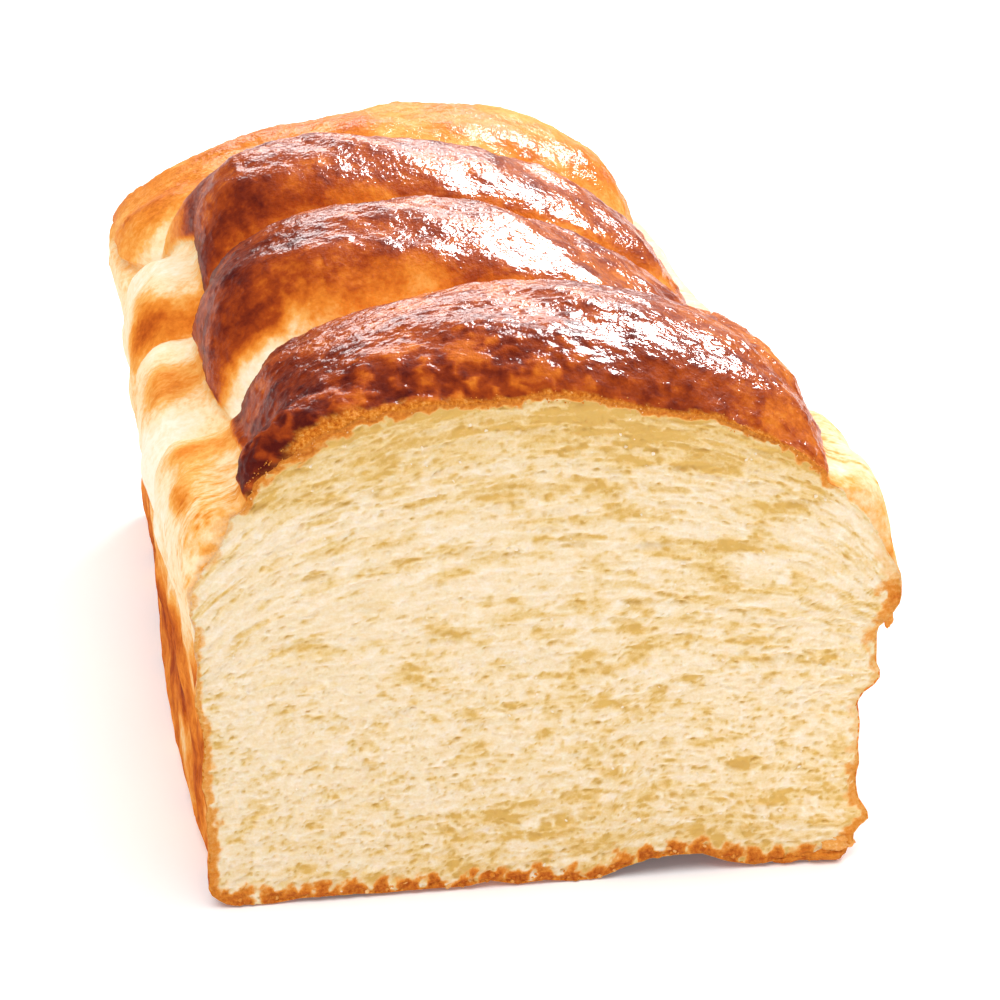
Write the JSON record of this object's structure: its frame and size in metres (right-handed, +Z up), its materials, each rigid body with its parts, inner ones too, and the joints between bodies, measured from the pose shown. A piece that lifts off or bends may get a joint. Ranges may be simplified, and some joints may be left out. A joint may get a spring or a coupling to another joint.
{
  "type": "cut pan loaf of milk bread",
  "caption": "Straight-sided pan loaf of soft milk bread, risen in glazed humps and sliced across at one end, so that its pale crumb shows.",
  "frame": {"origin": "middle of the base, on the surface that the loaf rests on", "axes": "+Z up; the loaf lies along Y with its cut face towards -Y; +X to the right when looking at the cut face"},
  "size_m": [0.1208, 0.1874, 0.0959],
  "materials": {
    "crust": "glazed brown bread crust, paler in the folds and on the walls",
    "crumb": "soft open cream crumb on the cut face"
  },
  "bodies": {
    "root": {"loaf": "crust"}
  },
  "joints": []
}
